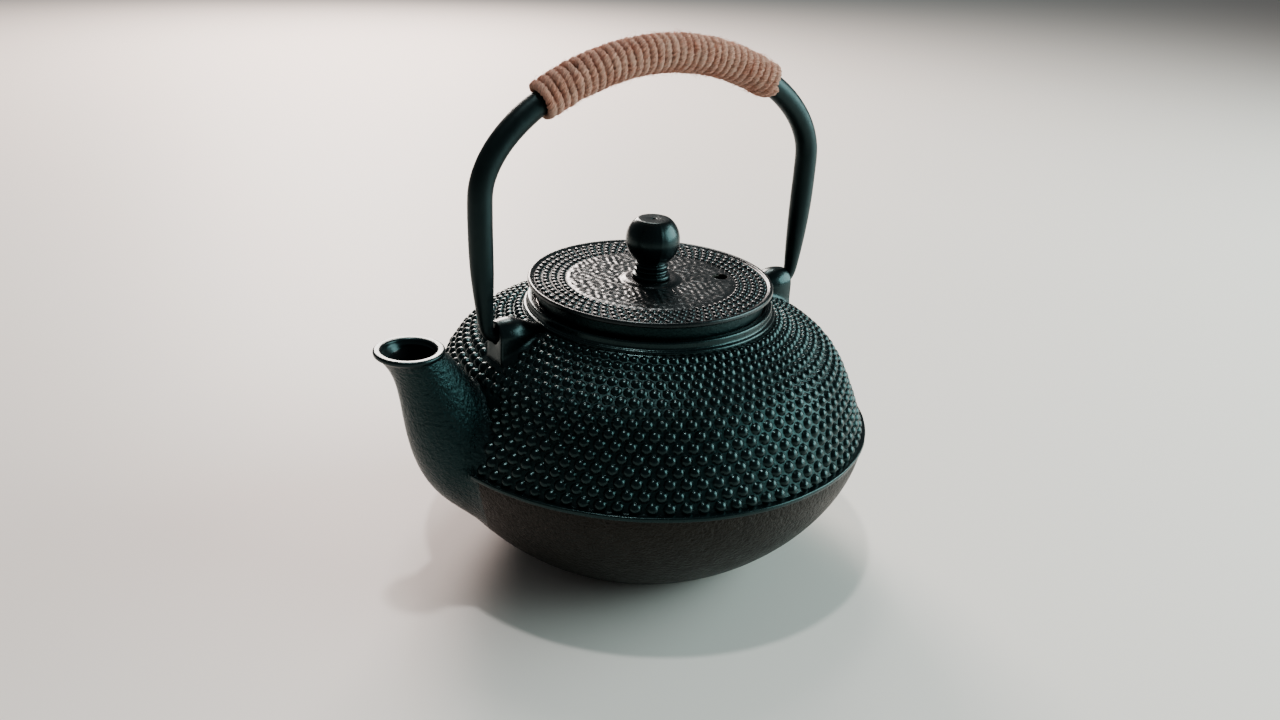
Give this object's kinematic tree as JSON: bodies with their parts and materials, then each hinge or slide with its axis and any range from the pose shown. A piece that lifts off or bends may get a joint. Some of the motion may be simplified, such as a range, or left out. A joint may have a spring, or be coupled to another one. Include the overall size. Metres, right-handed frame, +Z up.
{
  "type": "cast iron teapot",
  "caption": "Round cast iron teapot with a short upturned spout, a ball-knobbed lid, a twine-wrapped bail handle and a lift-out infuser basket.",
  "frame": {"origin": "centre of the flat base, where the pot rests on the table", "axes": "+Z up along the pot's turning axis; the spout points to -X; the handle's arch, both lugs and the spout lie in the XZ plane"},
  "size_m": [0.1706, 0.15, 0.1712],
  "materials": {
    "cast_iron": "black lacquered sand casting, semi-gloss",
    "knob_iron": "black lacquer, gloss",
    "handle_iron": "black lacquer, gloss",
    "twine": "wound natural jute twine",
    "steel": "pressed stainless steel, satin",
    "screen": "etched stainless screen"
  },
  "bodies": {
    "pot": {"pot_body": "cast_iron"},
    "bail": {"handle_bar": "handle_iron", "twine_wrap": "twine"},
    "basket": {"infuser_rim": "steel", "infuser_wall": "screen", "infuser_foot_ring": "steel", "infuser_floor": "screen"},
    "cover": {"lid": "cast_iron", "lid_knob": "knob_iron", "knob_screw": "steel", "knob_washer": "steel"}
  },
  "joints": [
    {"name": "bail_swing", "type": "hinge", "parent": "pot", "child": "bail", "pos_m": [0, 0, 0.083], "axis": [1, 0, 0], "range_deg": [-105, 105]},
    {"name": "basket_lift", "type": "slide", "parent": "pot", "child": "basket", "axis": [0, 0, 1], "range_m": [0, 0.042]},
    {"name": "lid_lift", "type": "slide", "parent": "basket", "child": "cover", "axis": [0, 0, 1], "range_m": [0, 0.042]}
  ]
}
